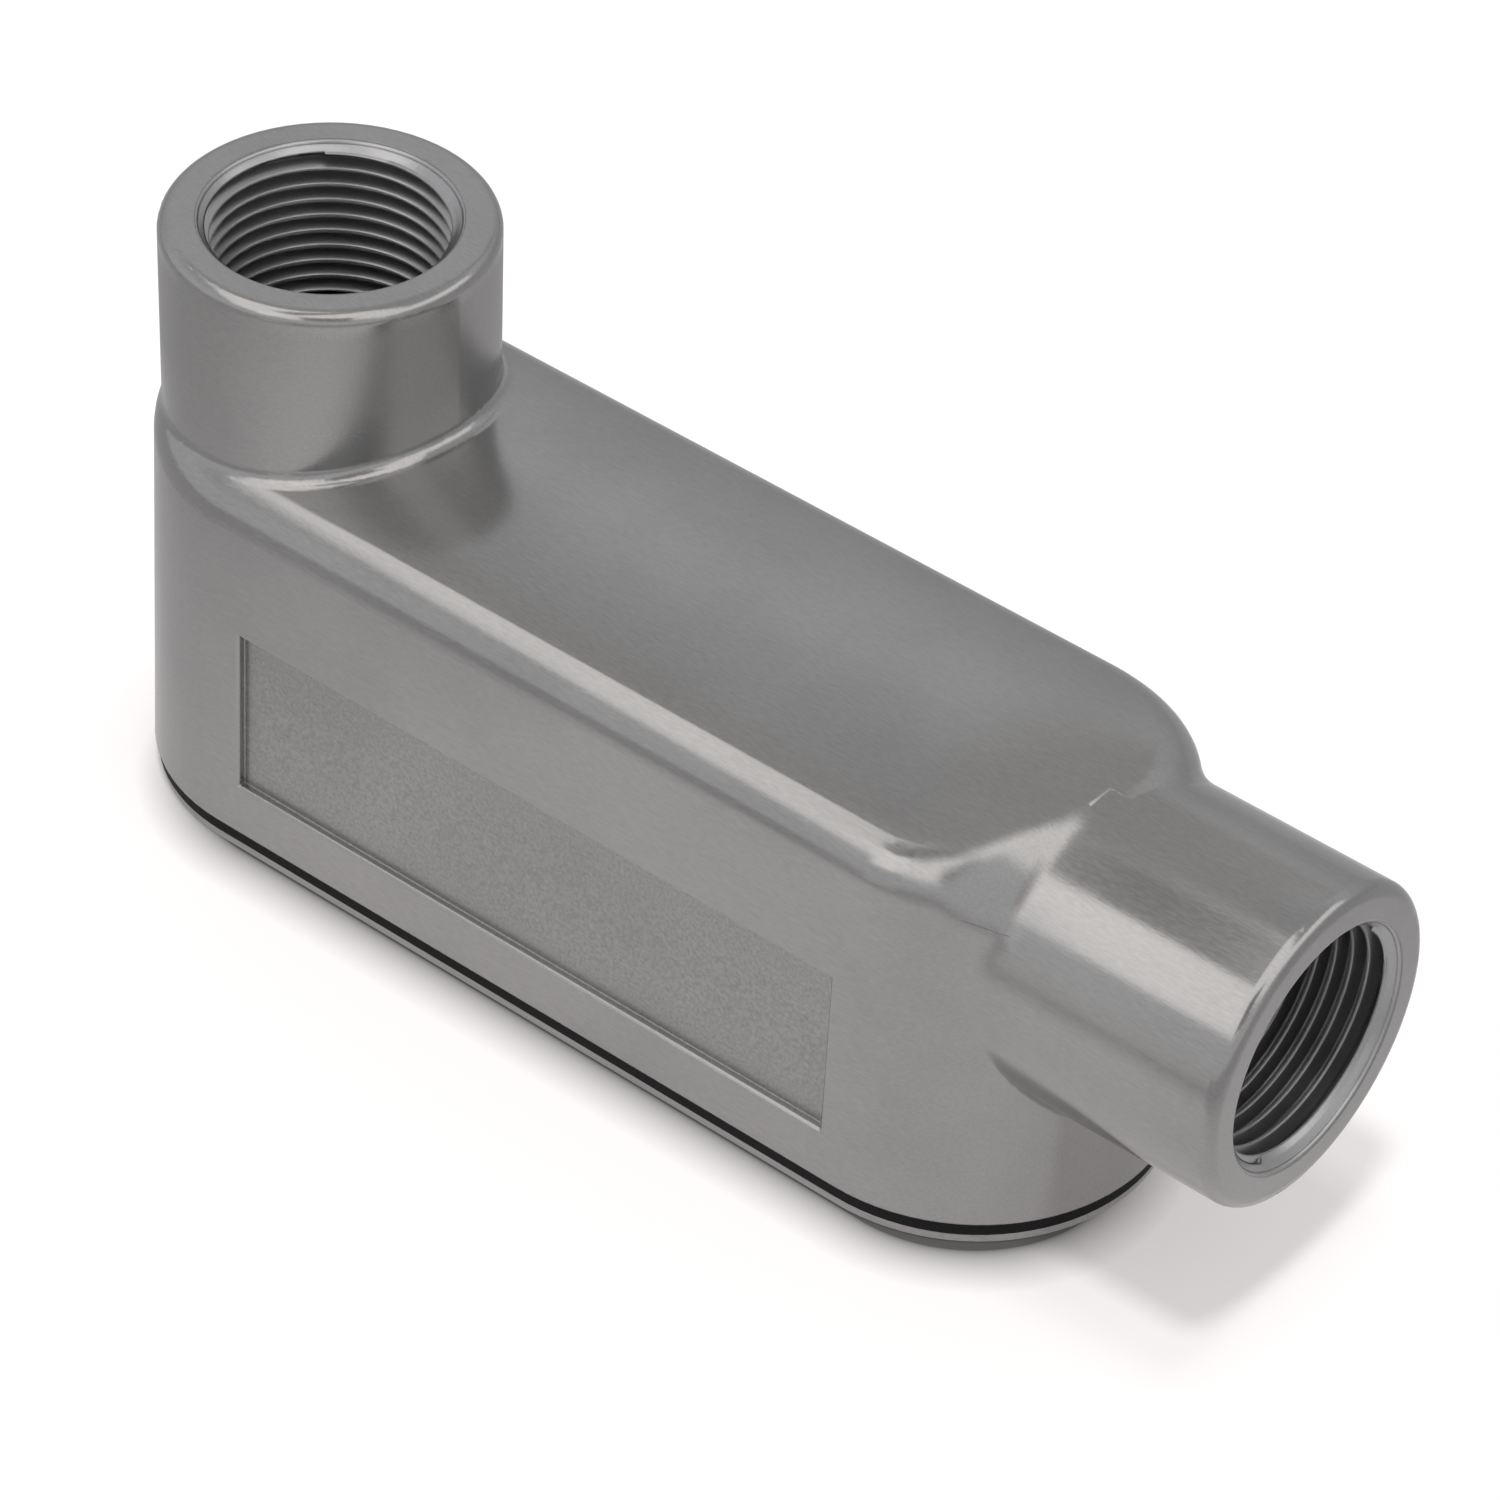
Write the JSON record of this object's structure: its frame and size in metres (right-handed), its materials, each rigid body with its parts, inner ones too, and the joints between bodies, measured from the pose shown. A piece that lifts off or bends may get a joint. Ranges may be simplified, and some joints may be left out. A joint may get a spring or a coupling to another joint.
{
  "type": "conduit body",
  "caption": "Stainless steel LB conduit body with threaded back and end hubs, rubber gasket and screwed cover.",
  "frame": {"origin": "on the back hub's axis, in the plane of the cover's outer face", "axes": "+Z along the back hub, out of its mouth; +X along the end hub, out of its mouth; the sunk panel is on the -Y side"},
  "size_m": [0.1411, 0.0416, 0.0659],
  "materials": {
    "casting": "satin ground stainless casting",
    "gasket_rubber": "matt black sheet rubber",
    "cover_sheet": "satin stainless sheet",
    "screw_steel": "bright stainless screw"
  },
  "bodies": {
    "casting": {"body": "casting"},
    "lid": {"cover": "cover_sheet", "gasket": "gasket_rubber"},
    "screw_back": {"cover_screw_back": "screw_steel"},
    "screw_end": {"cover_screw_end": "screw_steel"}
  },
  "joints": [
    {"name": "cover_slide", "type": "slide", "parent": "casting", "child": "lid", "axis": [0, 0, -1], "range_m": [0, 0.016]},
    {"name": "screw_back_turn", "type": "hinge", "parent": "lid", "child": "screw_back", "pos_m": [-0.00938, 0, 0], "axis": [0, 0, -1], "range_deg": [0, 7260]},
    {"name": "screw_end_turn", "type": "hinge", "parent": "lid", "child": "screw_end", "pos_m": [0.09626, 0, 0], "axis": [0, 0, -1], "range_deg": [0, 7260]}
  ],
  "couplings": [
    {"joint": "screw_back_turn", "follows": "cover_slide", "rad_per_m": 7915.8},
    {"joint": "screw_end_turn", "follows": "cover_slide", "rad_per_m": 7915.8}
  ]
}
